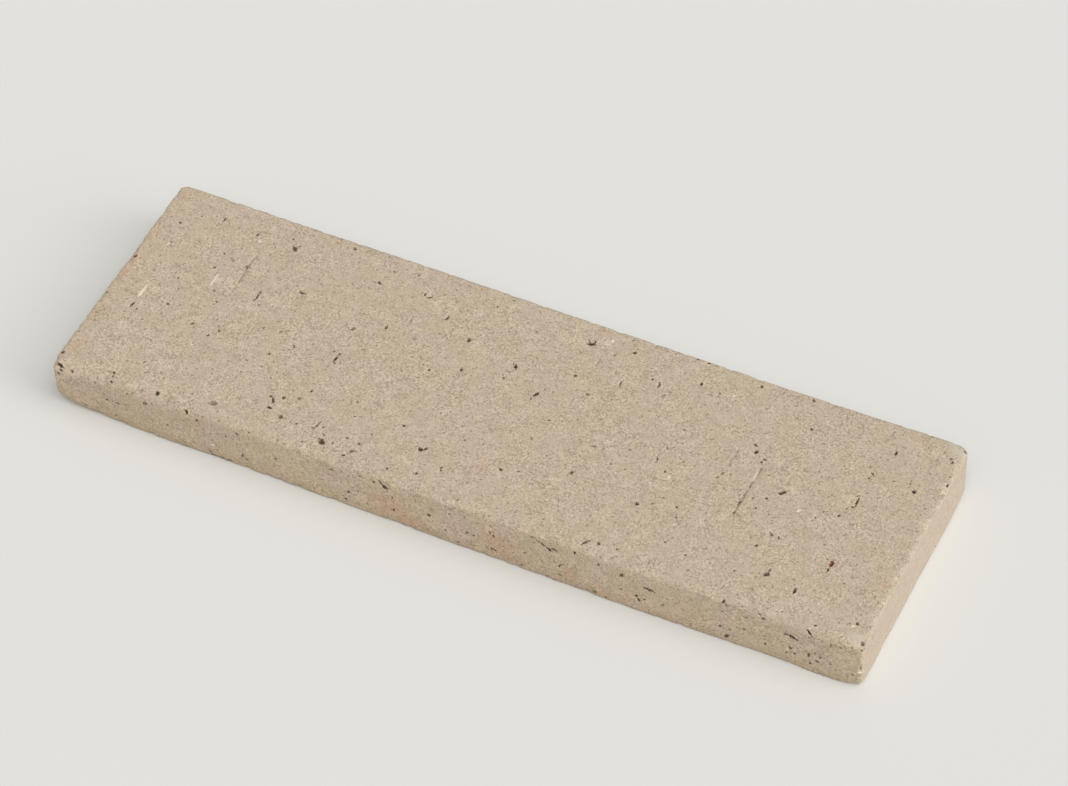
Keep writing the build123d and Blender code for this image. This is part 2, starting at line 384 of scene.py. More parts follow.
FRONT_MARKS = (
    (-143.6, 20.0, 1.5, 0.9, -45, 1.0), (-142.4, 19.2, 2.3, 1.3, -30, 1.0),
    (-142.1, 17.6, 1.4, 1.1, 0, 0.6), (-143.1, 15.9, 1.2, 1.0, -50, 0.95),
    (-138.2, 18.2, 1.1, 1.0, 0, 0.75), (-117.3, 17.0, 1.0, 0.6, 60, 0.5),
    (-110.4, 15.8, 1.4, 1.2, 0, 0.7), (-125.8, 9.9, 1.3, 0.9, 30, 0.75),
    (-121.6, 10.1, 1.7, 0.9, 0, 0.5), (-126.9, 12.4, 1.0, 0.5, 90, 0.5),
    (-94.8, 18.5, 2.3, 1.0, 100, 1.0), (-91.1, 16.1, 1.5, 1.0, 100, 0.8),
    (-96.2, 13.8, 0.9, 0.6, 40, 0.6), (-102.8, 8.5, 0.9, 0.6, 70, 0.6),
    (-76.1, 16.6, 1.2, 1.1, 0, 0.7), (-86.2, 8.5, 1.1, 0.6, 45, 0.5),
    (-74.8, 6.3, 1.9, 0.9, 70, 0.5), (-80.6, 13.2, 1.0, 0.6, 70, 0.5),
    (-83.9, 12.8, 0.9, 0.6, 90, 0.5), (-134.5, 3.4, 1.2, 0.8, 20, 0.6),
    (-123.1, 3.3, 1.0, 0.8, 0, 0.6), (-84.5, 0.9, 6.0, 0.9, 0, 0.6),
    (-21.6, 16.6, 2.2, 1.3, -40, 1.0), (-23.1, 18.2, 1.8, 0.7, -50, 0.9),
    (-25.7, 17.4, 1.4, 1.0, 0, 0.5), (-41.3, 15.5, 1.9, 1.0, 0, 0.5),
    (-35.4, 7.4, 1.4, 1.0, 80, 0.65), (-33.3, 6.8, 1.1, 0.7, 20, 0.8),
    (-36.8, 3.3, 1.1, 0.8, 30, 0.6), (-19.2, 12.6, 1.2, 0.8, 80, 0.7),
    (-19.0, 6.6, 1.6, 0.8, 75, 0.75), (-6.1, 10.5, 1.5, 1.1, -30, 0.65),
    (-73.3, 5.0, 1.2, 0.8, 60, 0.6), (-71.7, 19.2, 0.9, 0.7, 0, 0.6),
    (-45.2, 9.0, 1.8, 0.5, 0, 0.45), (37.2, 15.2, 1.7, 1.2, -30, 1.0),
    (35.2, 16.4, 6.8, 0.8, -28, 0.75), (46.2, 18.2, 1.5, 0.9, 70, 0.95),
    (54.5, 16.6, 1.3, 0.9, 80, 0.6), (62.5, 15.2, 1.9, 1.1, 65, 0.7),
    (39.0, 10.0, 1.0, 0.8, -30, 0.7), (40.7, 8.9, 2.0, 0.7, 60, 0.65),
    (67.5, 7.2, 1.3, 1.0, 60, 0.9), (68.4, 5.9, 1.5, 1.0, -60, 1.0),
    (70.4, 7.0, 1.5, 0.6, 45, 0.6), (72.4, 12.8, 2.8, 1.2, -12, 0.9),
    (62.1, 8.2, 1.0, 0.8, 0, 0.7), (16.2, 4.7, 1.3, 0.9, 0, 0.9), (17.5, 4.5, 0.9, 0.8, 0, 0.9),
    (15.9, 12.7, 1.6, 0.8, 80, 0.7), (17.2, 11.7, 1.6, 0.7, 90, 0.75),
    (7.7, 8.5, 1.2, 0.9, 45, 0.65), (9.9, 8.4, 1.1, 0.9, 0, 0.6), (52.9, 1.8, 1.6, 1.1, 40, 0.7),
    (56.9, 1.3, 1.3, 0.7, 0, 0.6), (4.1, 1.8, 1.6, 0.7, -10, 0.5), (27.0, 2.0, 1.3, 0.9, 70, 0.6),
    (36.0, 1.2, 1.1, 0.7, 0, 0.5), (1.6, 14.7, 1.1, 0.8, 0, 0.5), (7.1, 16.0, 1.2, 0.7, 80, 0.5),
    (40.7, 4.2, 1.2, 0.9, 0, 0.5), (28.4, 8.8, 1.3, 0.8, 0, 0.5),
    (126.5, 19.2, 3.8, 0.9, -52, 1.0), (120.7, 13.8, 2.6, 1.4, -10, 1.0),
    (118.8, 14.2, 1.6, 0.8, 20, 0.8), (122.6, 13.2, 1.3, 0.8, 40, 0.7),
    (97.5, 19.8, 1.9, 1.0, 65, 0.7), (98.4, 18.3, 1.0, 0.8, 0, 0.75),
    (103.6, 20.0, 1.3, 0.7, 90, 0.6), (109.7, 19.4, 1.1, 0.8, 0, 0.5),
    (110.9, 18.0, 1.6, 1.1, 45, 0.55), (134.0, 17.0, 1.8, 0.5, 95, 0.6),
    (126.6, 16.7, 1.0, 0.7, 60, 0.5), (96.5, 6.9, 1.2, 0.8, 60, 0.9),
    (99.7, 6.6, 1.1, 0.9, 0, 0.6), (104.7, 9.6, 1.1, 0.8, 30, 0.6),
    (120.3, 8.1, 1.3, 0.8, -60, 0.8), (121.8, 5.9, 1.3, 0.9, 20, 0.75),
    (111.8, 5.5, 1.3, 0.9, 60, 0.7), (119.0, 5.0, 1.4, 0.6, 80, 0.7),
    (126.6, 7.7, 2.0, 0.9, 85, 0.7), (129.6, 6.2, 1.5, 0.8, 10, 0.8),
    (130.6, 8.8, 1.4, 0.7, 70, 0.6), (127.3, 4.1, 1.0, 0.9, 0, 0.85),
    (128.8, 10.0, 0.9, 0.6, 80, 0.5), (144.2, 9.9, 1.1, 0.8, 0, 0.7),
    (140.9, 19.3, 1.5, 0.6, 90, 0.4), (141.6, 6.0, 1.0, 0.7, 0, 0.6),
    (98.7, 2.9, 1.9, 1.2, 60, 0.75), (76.8, 7.6, 1.1, 0.8, 80, 0.5),
    (86.8, 10.2, 1.0, 0.7, 60, 0.4), (105.4, 15.5, 1.3, 0.6, 15, 0.5),
    (86.5, 15.2, 0.9, 0.7, 0, 0.4), (97.2, 14.7, 0.9, 0.7, 80, 0.5),
    (137.4, 17.6, 1.3, 0.6, 85, 0.4),
)
END_MARKS = (
    (-35.8, 17.0, 1.1, 0.8, 60, 0.7), (-43.0, 5.0, 0.9, 0.6, 0, 0.4),
    (20.4, 12.0, 0.9, 0.5, 0, 0.3),
)
LEFT_MARKS = (
    (8.5, 20.2, 1.8, 0.9, 10, 0.8), (32.5, 20.3, 1.2, 0.7, 0, 0.7),
    (-39.0, 20.0, 1.6, 0.9, 20, 0.8),
)

# Fine lines that the wire dragged over the top: start, end, width, how deep, and how dark the
# shade painted in them is
DRAG_LINES = (
    (-105.9, 29.0, -105.3, 8.0, 0.5, 0.35, 0.5),
    (86.9, 9.5, 86.4, -11.4, 0.45, 0.3, 0.85),
    (77.4, 13.9, 75.6, -0.3, 0.5, 0.15, 0.35),
)
# Pale streaks and grains on the top and front: place, length, width, turn and strength
PALE_MARKS = (
    (-132.9, -4.6, 7.2, 1.1, 88, 0.95), (-113.3, 9.8, 8.2, 0.7, 90, 0.8),
    (-107.6, 31.8, 1.7, 1.2, -50, 0.8), (-135.4, 18.0, 1.8, 0.9, 70, 0.6),
    (-6.8, -33.0, 1.2, 0.6, 100, 0.7), (-38.3, -39.6, 1.5, 0.7, 20, 0.6),
    (20.7, 39.5, 1.6, 1.0, -60, 1.0), (14.0, 23.6, 0.6, 0.5, 0, 0.8),
    (61.6, -6.1, 2.2, 1.1, 100, 0.7), (71.1, -23.1, 1.3, 0.6, -60, 0.8),
    (22.7, -28.2, 1.0, 0.8, 0, 0.6), (104.9, -1.8, 2.3, 0.9, 62, 1.0),
    (138.5, -37.4, 1.3, 0.7, 10, 1.0), (-100.5, 21.8, 0.9, 0.6, 0, 0.4),
    (32.0, -30.0, 0.8, 0.6, 0, 0.4), (67.3, 29.7, 1.0, 0.7, 0, 0.4),
    (-22.4, 19.8, 1.0, 0.5, 0, 0.5), (86.8, 5.8, 6.5, 0.7, 91, 0.9),
    (138.6, -37.6, 1.6, 0.6, 20, 0.9),
)
FRONT_PALE_MARKS = ((143.8, 8.1, 1.5, 1.0, -40, 1.0), (-86.1, 6.1, 1.5, 1.0, 60, 1.0))
# Where the top's corners and back edge are broken to smooth clay: place, length, width,
# turn, strength, and whether the clay is greenish there
SMOOTH_PATCHES = (
    (140.4, -41.2, 7.6, 4.6, -10, 0.8, False),
    (142.0, 42.2, 6.8, 5.2, -35, 0.8, True),
    (-117.4, 42.8, 9.0, 3.5, 0, 0.35, True),
)
# Pink and orange patches on the front, and on the top near its edges: place, size along
# the paver and across the face, and strength
WARM_PATCHES = (
    (-20.5, 8.8, 15, 12, 1.0), (-13.5, 4.2, 10, 7, 1.0), (19.0, 8.0, 18, 13, 0.9),
    (44.9, 6.0, 5, 7, 0.8), (54.4, 3.5, 6, 5, 0.9), (64.3, 5.0, 5, 4, 0.7),
    (-52.4, 4.5, 3.5, 2, 1.0), (-135.3, 8.0, 7, 7, 0.5), (-90.5, 14.0, 9, 6, 0.4),
    (83.8, 11.0, 16, 9, 0.3), (-63.0, 6.6, 3, 2, 0.5), (-92.0, 8.0, 3, 2, 0.4),
    (-88.0, 5.0, 3, 2, 0.4),
)
WARM_TOP_PATCHES = (
    (-142.8, 4.8, 4, 14, 0.9), (-142.3, 20.8, 4, 8, 0.7), (-141.8, -18.1, 5, 12, 0.5),
    (-141.3, -35.0, 5, 9, 0.6), (-140.8, 39.7, 5, 6, 0.7), (17.0, 42.2, 7, 4, 0.45),
    (4.6, -27.0, 4, 7, 0.6), (127.6, 40.7, 9, 6, 0.35), (140.5, -18.6, 5, 5, 0.8),
    (122.7, -17.0, 2.4, 2.8, 1.0),
)

AXES = {  # for each face: its first and second direction, and the coordinate that stays put
    "top": ((1, 0, 0), (0, 1, 0), (0, 0, HIGH[2])),
    "bed": ((1, 0, 0), (0, -1, 0), (0, 0, LOW[2])),
    "front": ((1, 0, 0), (0, 0, 1), (0, LOW[1], 0)),
    "back": ((-1, 0, 0), (0, 0, 1), (0, HIGH[1], 0)),
    "right": ((0, 1, 0), (0, 0, 1), (HIGH[0], 0, 0)),
    "left": ((0, -1, 0), (0, 0, 1), (LOW[0], 0, 0)),
}
# Marks this long or longer break up, but for the darkest: a smaller piece lies off either end
CLUSTER_LENGTH = 1.7
CLUSTER_LEAN = 25
CLUSTER_APART = (0.4, 0.75)
CLUSTER_SIZE = (0.25, 0.45)
CLUSTER_WIDTH = 0.6
CLUSTER_TURN = 60
CLUSTER_DARK = (0.5, 0.9)

# Pores scattered over each face, on top of those read from the photo: how many, and
# how long the longest are
SCATTERED = {
    "top": (130, 0.8), "bed": (70, 2.2), "front": (45, 0.8), "back": (80, 2.0), "right": (10, 0.7),
    "left": (16, 1.0),
}
SCATTER_MARGIN = 1  # how far they stay from the edges
SCATTER_SHARE = (0.35, 1)  # of the longest, before the power that makes most of them short
SCATTER_POWER = 2.2
SCATTER_SHORTEST = 0.35
SCATTER_WIDEST = 1.4
SCATTER_WIDTH = (0.45, 0.95)
SCATTER_TURN = 35
SCATTER_DARK = (0.25, 0.7)
SETTLE_STEPS = 20


class Pores:
    """Marks gathered face by face, each with its centre, direction, half sizes and darkness."""

    def __init__(self):
        self.centres, self.inward, self.shapes = [], [], []

    def add(self, face, u, v, length, width, turn, dark):
        first, second, fixed = (np.array(axis, float) for axis in AXES[face])
        turn = math.radians(turn)
        self.centres.append(fixed + u * first + v * second)
        self.inward.append(-np.cross(first, second))
        along = first * math.cos(turn) + second * math.sin(turn)
        self.shapes.append((along, length / 2, width / 2, dark))

    def add_cluster(self, face, u, v, length, turn, dark):
        """The two smaller pieces off the ends of a mark."""
        for way in (-1, 1):
            lean = math.radians(turn + RANDOM.uniform(-CLUSTER_LEAN, CLUSTER_LEAN))
            far = way * length * RANDOM.uniform(*CLUSTER_APART)
            size = length * RANDOM.uniform(*CLUSTER_SIZE)
            self.add(
                face, u + far * math.cos(lean), v + far * math.sin(lean), size,
                size * CLUSTER_WIDTH, turn + RANDOM.uniform(-CLUSTER_TURN, CLUSTER_TURN),
                dark * RANDOM.uniform(*CLUSTER_DARK))

    def scatter(self, face, count, longest):
        # Middle and reach are both negative where the face's direction runs backwards
        ways = np.array(AXES[face][:2])
        middle = ways @ (HIGH + LOW) / 2
        reach = ways @ (HIGH - LOW) / 2 - ways.sum(axis=1) * SCATTER_MARGIN
        for _ in range(count):
            u, v = (m + r * RANDOM.uniform(-1, 1) for m, r in zip(middle, reach))
            length = longest * RANDOM.uniform(*SCATTER_SHARE) ** SCATTER_POWER + SCATTER_SHORTEST
            width = min(length, SCATTER_WIDEST) * RANDOM.uniform(*SCATTER_WIDTH)
            turn = (90 if face in ("top", "bed") else 0) + RANDOM.normal(0, SCATTER_TURN)
            self.add(face, u, v, length, width, turn, RANDOM.uniform(*SCATTER_DARK))

    def settled(self):
        """Every mark, with its centre carried straight in from its flat face to the form."""
        centres, inward = np.array(self.centres), np.array(self.inward)
        for _ in range(SETTLE_STEPS):
            centres += outside(centres)[:, None] * inward
        return [(centre, *shape) for centre, shape in zip(centres, self.shapes)]


def all_pores():
    pores = Pores()
    seen = (("top", TOP_MARKS), ("front", FRONT_MARKS), ("right", END_MARKS), ("left", LEFT_MARKS))
    for face, marks in seen:
        for u, v, length, width, turn, dark in marks:
            pores.add(face, u, v, length, width, turn, dark)
            if length >= CLUSTER_LENGTH and dark < 1:
                pores.add_cluster(face, u, v, length, turn, dark)
    for face, (count, longest) in SCATTERED.items():
        pores.scatter(face, count, longest)
    return pores.settled()


def fine_places():
    """The pale marks and drag lines, written as pores are, for the mesh to be fine there."""
    places = []
    for x, y, length, width, turn, _ in PALE_MARKS:
        along = np.array((math.cos(math.radians(turn)), math.sin(math.radians(turn)), 0))
        places.append((np.array((x, y, HIGH[2])), along, length / 2, width / 2, 1.0))
    for x, z, length, width, turn, _ in FRONT_PALE_MARKS:
        along = np.array((math.cos(math.radians(turn)), 0, math.sin(math.radians(turn))))
        centre = on_surface(np.array([(x, LOW[1], z)]))[0]
        places.append((centre, along, length / 2, width / 2, 1.0))
    for x0, y0, x1, y1, width, _, _ in DRAG_LINES:
        length = math.hypot(x1 - x0, y1 - y0)
        along = np.array((x1 - x0, y1 - y0, 0)) / length
        centre = np.array(((x0 + x1) / 2, (y0 + y1) / 2, HIGH[2]))
        places.append((centre, along, length / 2, width / 2, 1.0))
    return places


class Sorted:
    """Points sorted along the paver, so that those near a place are found quickly."""

    def __init__(self, points):
        self.points = points
        self.order = np.argsort(points[:, 0])
        self.sorted_x = points[self.order, 0]

    def near(self, centre, reach):
        """Indices of the points whose x is within reach of the centre's."""
        first, last = np.searchsorted(self.sorted_x, (centre[0] - reach, centre[0] + reach))
        return self.order[first:last]

    def along_and_beside(self, indices, centre, along):
        """How far points lie from the centre along a direction, and beside its line."""
        apart = self.points[indices] - centre
        run = apart @ along
        return run, np.linalg.norm(apart - run[:, None] * along, axis=1)


def near_pores(points, pores, margin, smallest):
    """Whether points lie within the margin of a pore, leaving out those below a half width."""
    found = np.zeros(len(points), bool)
    lookup = Sorted(points)
    for centre, along, half_length, half_width, _ in pores:
        if half_width >= smallest:
            reach = half_length + margin
            window = lookup.near(centre, reach)
            run, beside = lookup.along_and_beside(window, centre, along)
            found[window] |= (np.abs(run) < reach) & (beside < half_width + margin)
    return found


# The paver's mesh

GRID = 2.5  # the coarsest cells, which are halved up to three times
BED_HEIGHT = 1.5  # below this the coarsest cells are fine enough, away from edges and pores
COARSE_EDGE = 4
FINE_EDGE = 2.6
FINE_LOW_EDGE = 1.9  # for what lies below the middle of the sides
SIDE_MIDDLE = 10
WORN_FROM, WORN_ABOVE = -35, 13  # y and z from which the worn front edge starts
WORN_MARGIN = 1.0
BIG_PORE = 0.3
PORE_MARGINS = (1.5, 0.9, 0.35)  # round pores, for each halving

TOP_FROM = 15  # points above this height belong to the top
WARM_TOP_FROM = 17
FRONT_FROM = -38  # points in front of this y belong to the front
FRONT_FACING = -0.5  # the front takes pale marks where its outward direction has less Y

END_FACING = (0.6, 0.95)  # from where to where the surface turns to face along the paver
SWELL, SWELL_SIZE = 0.06, 16.0
RIPPLE, RIPPLE_SIZE = 0.035, 3.2
END_RIPPLE_LOSS = 0.5
CRUMB_SIZE = 2.4
CRUMB_FROM = 0.1
CRUMB_REACH = 3.0
RIGHT_CRUMB_LOSS = 0.6
SHARP_CRUMBS = 0.6  # share of the crumbs left on the back edge and the front left corner
SHARP_BACK = 38
SHARP_LEFT, SHARP_FRONT = -138, -30

MARK_REACH = 1.7  # how far round a mark its field is felt, in half sizes
MARK_GRAIN = 0.8
MARK_RAGGED = 0.3
MARK_RIM = (0.4, 1.2)  # from where to where its hollow runs out
MARK_BOOST = 1.12  # how much darker a mark is painted than it was read
LEAST_DEPTH, DEPTH_BY_WIDTH, DEEPEST = 0.2, 0.9, 0.9
FAINT_DEPTH = 0.35  # share of its depth that the faintest mark keeps
CRUMBLED = 0.25  # where the clay is let in deeper than this already, a mark adds less

LINE_CORE = 0.35  # share of a dragged line's width that is let in fully
WOBBLE, WOBBLE_SIZE = 0.25, 3.0
DASH_RANGE, DASH_SIZE = (-0.7, 0.3), 2.2
PATCH_RIM, PATCH_RAGGED, PATCH_GRAIN = (0.6, 1.1), 0.25, 0.9
WARM_RIM, WARM_RAGGED, WARM_GRAIN = (0.4, 1.2), 0.35, 4.0


def make_grid(cell):
    """The plain box, as a closed grid of faces."""
    counts = np.maximum(1, np.round((HIGH - LOW) / cell)).astype(int)
    mesh = bmesh.new()
    made = {}

    def corner(key):
        if key not in made:
            made[key] = mesh.verts.new(LOW + (HIGH - LOW) * np.array(key) / counts)
        return made[key]

    for axis in range(3):
        a, b = (axis + 1) % 3, (axis + 2) % 3
        for side in (0, counts[axis]):
            for i in range(counts[a]):
                for j in range(counts[b]):
                    keys = []
                    for di, dj in ((0, 0), (1, 0), (1, 1), (0, 1)):
                        key = [0, 0, 0]
                        key[axis], key[a], key[b] = side, i + di, j + dj
                        keys.append(tuple(int(k) for k in key))
                    if side == 0:
                        keys.reverse()
                    mesh.faces.new([corner(key) for key in keys])
    return mesh


def split_where(mesh, wanted):
    """Halves the grid's cells wherever wanted(their middles on the surface) is true."""
    mesh.faces.ensure_lookup_table()
    middles = np.array([face.calc_center_median() for face in mesh.faces])
    chosen = wanted(on_surface(middles))
    edges = {edge for face, take in zip(mesh.faces, chosen) if take for edge in face.edges}
    bmesh.ops.subdivide_edges(mesh, edges=list(edges), cuts=1, use_grid_fill=True)


def fitted_grid(pores):
    """The box's grid, finest at the pores, fine along the edges and coarse on the bed."""
    marks = pores + fine_places()

    def off_the_bed(p):
        return ((p[:, 2] > BED_HEIGHT) | (edge_distance(p) < COARSE_EDGE)
                | near_pores(p, pores, PORE_MARGINS[0], BIG_PORE))

    def edges_and_pores(p):
        edge = edge_distance(p)
        near_edge = edge < np.where(p[:, 2] < SIDE_MIDDLE, FINE_LOW_EDGE, FINE_EDGE)
        at_front_top = (p[:, 1] < WORN_FROM) & (p[:, 2] > WORN_ABOVE)
        worn = at_front_top & (edge < front_top_round(p[:, 0]) + WORN_MARGIN)
        return near_edge | worn | near_pores(p, marks, PORE_MARGINS[1], 0.0)

    mesh = make_grid(GRID)
    split_where(mesh, off_the_bed)
    split_where(mesh, edges_and_pores)
    split_where(mesh, lambda p: near_pores(p, marks, PORE_MARGINS[2], 0.0))
    mesh.verts.ensure_lookup_table()
    return mesh


def worn_clay(points, normals):
    """How deep the soft swells of the faces and the crumbled look of the edges go."""
    x, y, _ = points.T
    ends = smooth_step(*END_FACING, np.abs(normals[:, 0]))
    swells = SWELL * (1 + rough(points, SWELL_SIZE, SEED["swell"]))
    ripples = RIPPLE * (1 + rough(points, RIPPLE_SIZE, SEED["ripple"]))
    crumbs = np.maximum(rough(points, CRUMB_SIZE, SEED["crumb"]) - CRUMB_FROM, 0)
    crumbs = crumbs * (1 - RIGHT_CRUMB_LOSS * ends * (x > 0))
    edge = 1 - smooth_step(0, CRUMB_REACH, edge_distance(points))
    is_sharp = (y > SHARP_BACK) | ((x < SHARP_LEFT) & (y < SHARP_FRONT))
    return (swells + ripples * (1 - END_RIPPLE_LOSS * ends)
            + edge * crumbs * np.where(is_sharp, SHARP_CRUMBS, 1))


def press_marks(points, depth, pores):
    """Lets the marks in, and gives how near each point is to one and how dark the shade painted in
    that one is.
    """
    mark, strength = np.zeros(len(points)), np.zeros(len(points))
    lookup = Sorted(points)
    for centre, along, half_length, half_width, darkness in pores:
        reach = half_length * MARK_REACH
        window = lookup.near(centre, reach)
        window = window[np.abs(points[window, 1] - centre[1]) < reach]
        run, beside = lookup.along_and_beside(window, centre, along)
        far = np.hypot(run / half_length, beside / half_width)
        ragged = 1 + MARK_RAGGED * noise(points[window], MARK_GRAIN, SEED["hollow"])
        hollow = 1 - smooth_step(*MARK_RIM, far * ragged)
        deepest = min(LEAST_DEPTH + DEPTH_BY_WIDTH * half_width, DEEPEST)
        deepest *= FAINT_DEPTH + (1 - FAINT_DEPTH) * darkness
        crumbled = np.maximum(depth[window] - CRUMBLED, 0)
        depth[window] += np.maximum(deepest * hollow - crumbled, 0)
        closeness = np.clip(1 - far / MARK_REACH, 0, 1)
        nearer = closeness > mark[window]
        mark[window[nearer]] = closeness[nearer]
        strength[window[nearer]] = min(1, MARK_BOOST * darkness)
    return mark, strength


def line_field(points, x0, y0, x1, y1, width):
    """One along a line dragged over the top, nought from its width on."""
    start, way = np.array((x0, y0)), np.array((x1 - x0, y1 - y0))
    share = np.clip((points[:, :2] - start) @ way / (way @ way), 0, 1)
    wobble = WOBBLE * noise(points, WOBBLE_SIZE, SEED["wobble"])
    apart = points[:, :2] + wobble[:, None] - start - share[:, None] * way
    apart = np.linalg.norm(apart, axis=1)
    return (1 - smooth_step(width * LINE_CORE, width, apart)) * (points[:, 2] > TOP_FROM)


def drag_lines(points, depth):
    """Lets the dragged lines in, broken here and there, and gives how dark their painted shade is.
    """
    groove_shade = np.zeros(len(points))
    for *ends, width, let_in, darkness in DRAG_LINES:
        line = line_field(points, *ends, width)
        dashes = smooth_step(*DASH_RANGE, noise(points, DASH_SIZE, SEED["dash"]))
        depth += let_in * line * dashes
        groove_shade = np.maximum(groove_shade, darkness * line * dashes)
    return groove_shade


def patch(points, axes, u, v, length, width, turn):
    """One inside a ragged oval on a face, nought outside it."""
    turn = math.radians(turn)
    way = np.array((math.cos(turn), math.sin(turn)))
    apart = points[:, axes] - (u, v)
    far = np.hypot(apart @ way / length, apart @ np.array((-way[1], way[0])) / width) * 2
    ragged = 1 + PATCH_RAGGED * noise(points, PATCH_GRAIN, SEED["patch"])
    return 1 - smooth_step(*PATCH_RIM, far * ragged)


def coloured_places(points, normals):
    """How pale, warm, smooth and greenish the clay is at each point."""
    pale, warm, smooth, green = (np.zeros(len(points)) for _ in range(4))
    top, front = points[:, 2] > TOP_FROM, points[:, 1] < FRONT_FROM
    faces_front = front & (normals[:, 1] < FRONT_FACING)
    for marks, axes, here in ((PALE_MARKS, (0, 1), top), (FRONT_PALE_MARKS, (0, 2), faces_front)):
        for *oval, brightness in marks:
            pale = np.maximum(pale, brightness * patch(points, axes, *oval) * here)
    for *oval, share, is_green in SMOOTH_PATCHES:
        here = share * patch(points, (0, 1), *oval) * top
        smooth = np.maximum(smooth, here)
        green = np.maximum(green, here * is_green)
    warm_top = points[:, 2] > WARM_TOP_FROM
    for patches, second, here in ((WARM_PATCHES, 2, front), (WARM_TOP_PATCHES, 1, warm_top)):
        for u, v, length, height, share in patches:
            far = np.hypot((points[:, 0] - u) / length, (points[:, second] - v) / height) * 2
            far *= 1 + WARM_RAGGED * noise(points, WARM_GRAIN, SEED["warm"])
            warm = np.maximum(warm, share * (1 - smooth_step(*WARM_RIM, far)) * here)
    return {"pale": pale, "warm": warm, "smooth": smooth, "green": green}


def make_paver():
    """The paver's mesh, with what its material needs to know at each point."""
    pores = all_pores()
    mesh = fitted_grid(pores)
    points = on_surface(np.array([vertex.co for vertex in mesh.verts]))
    normals = facing(points)
    depth = worn_clay(points, normals)
    mark, strength = press_marks(points, depth, pores)
    groove_shade = drag_lines(points, depth)
    looks = {"mark": mark, "strength": strength, "groove_shade": groove_shade}
    looks |= coloured_places(points, normals)
    for vertex, point in zip(mesh.verts, (points - normals * depth[:, None]) * MM):
        vertex.co = point
    data = bpy.data.meshes.new("clay_paver")
    bmesh.ops.triangulate(mesh, faces=[face for face in mesh.faces if len(face.verts) > 4])
    mesh.to_mesh(data)
    mesh.free()
    for name, values in looks.items():
        attribute = data.attributes.new(name, "FLOAT", "POINT")
        attribute.data.foreach_set("value", values.astype(np.float32))
    data.shade_smooth()
    piece = bpy.data.objects.new("clay_paver", data)
    bpy.context.scene.collection.objects.link(piece)
    return piece


# Materials

class Nodes:
    """Short names for the nodes that a material is wired from."""

    def __init__(self, name):
        self.material = bpy.data.materials.new(name)
        self.material.use_nodes = True
        self.tree = self.material.node_tree
        self.shader = next(n for n in self.tree.nodes if n.type == "BSDF_PRINCIPLED")

    def put(self, socket, value):
        if isinstance(value, bpy.types.NodeSocket):
            self.tree.links.new(value, socket)
        else:
            socket.default_value = value

    def add(self, kind, inputs=(), output=0, **settings):
        node = self.tree.nodes.new(kind)
        for key, value in settings.items():
            setattr(node, key, value)
        for key, value in dict(inputs).items():
            self.put(node.inputs[key], value)
        return node.outputs[output]

    def attribute(self, name):
        return self.add("ShaderNodeAttribute", attribute_name=name, output="Fac")

    def split(self, vector):
        node = self.tree.nodes.new("ShaderNodeSeparateXYZ")
        self.put(node.inputs[0], vector)
        return node.outputs

    def math(self, operation, a, b=0.0, **settings):
        return self.add("ShaderNodeMath", {0: a, 1: b}, operation=operation, **settings)

    def times(self, first, *others):
        for other in others:
            first = self.math("MULTIPLY", first, other)
        return first

    def plus(self, a, b):
        return self.math("ADD", a, b)

    def minus(self, a, b):
        return self.math("SUBTRACT", a, b)

    def step(self, value, low, high, to_low=0.0, to_high=1.0):
        return self.add(
            "ShaderNodeMapRange",
            {"Value": value, "From Min": low, "From Max": high, "To Min": to_low,
             "To Max": to_high},
            interpolation_type="SMOOTHSTEP")

    def fade(self, value, low, high):
        """One up to the low value, and nought from the high one."""
        return self.step(value, low, high, 1.0, 0.0)

    def noise(self, where, size, detail=2.0, roughness=0.5):
        """Noise from about 0.25 to 0.75, with bumps of the given size in millimetres."""
        return self.add(
            "ShaderNodeTexNoise",
            {"Vector": where, "Scale": 1 / size, "Detail": detail, "Roughness": roughness})

    def mix(self, share, a, b, blend="MIX"):
        node = self.tree.nodes.new("ShaderNodeMix")
        node.data_type, node.blend_type = "RGBA", blend
        self.put(node.inputs[0], share)
        self.put(node.inputs[6], a)
        self.put(node.inputs[7], b)
        return node.outputs[2]

    def tint(self, share, colour, tint):
        """The colour, multiplied by the tint where the share is one."""
        return self.mix(share, colour, self.mix(1.0, colour, tint, "MULTIPLY"))


# Colours of the clay, its skin and its broken places
YELLOWISH = (0.533, 0.438, 0.310, 1)
PINKISH = (0.541, 0.437, 0.336, 1)
WARM = (0.580, 0.372, 0.252, 1)
END_SKIN = (0.605, 0.505, 0.395, 1)
BROKEN = (0.575, 0.487, 0.395, 1)
GREENISH = (0.570, 0.540, 0.430, 1)
# Colours of its grains and marks; the dark ones also paint the shade in its pores and dragged
# lines
CREAM = (0.72, 0.63, 0.50, 1)
BRIGHT = (0.84, 0.73, 0.57, 1)
SPECK_AND_SHADE = (0.30, 0.22, 0.145, 1)
PORE_SHADE = (0.085, 0.055, 0.032, 1)
RED_PORE_SHADE = (0.150, 0.048, 0.022, 1)
# What the colour is multiplied by on the long sides; near their foot and at its very edge, as
# painted shade where they meet the floor; at their left end, as painted shade where the light
# falls off; and on the upper arris of the back, as painted shade where it turns from the light
SIDE_TINT = (1.085, 1.065, 1.04, 1)
LOW_SHADE_TINT = (0.94, 0.925, 0.89, 1)
FOOT_SHADE_TINT = (0.88, 0.87, 0.85, 1)
LEFT_SHADE_TINT = (0.96, 0.96, 0.96, 1)
BACK_ARRIS_SHADE_TINT = (0.86, 0.89, 0.86, 1)

# How far the surface faces along Y on the long sides, at their foot and on that arris, and
# how far it faces up on the arris
LONG_FACING = (0.55, 0.95)
FOOT_FACING = (0.1, 0.5)
ARRIS_FACING, ARRIS_UP = (0.15, 0.45), (0.2, 0.5)
# Heights over which the painted shade low on the sides and at their foot fades, and the x over
# which the left one does
LOW_SHADE_FADE = (1.5, 7.0)
FOOT_SHADE_FADE = (0.2, 1.3)
LEFT_SHADE_FADE = (-95.0, -65.0)

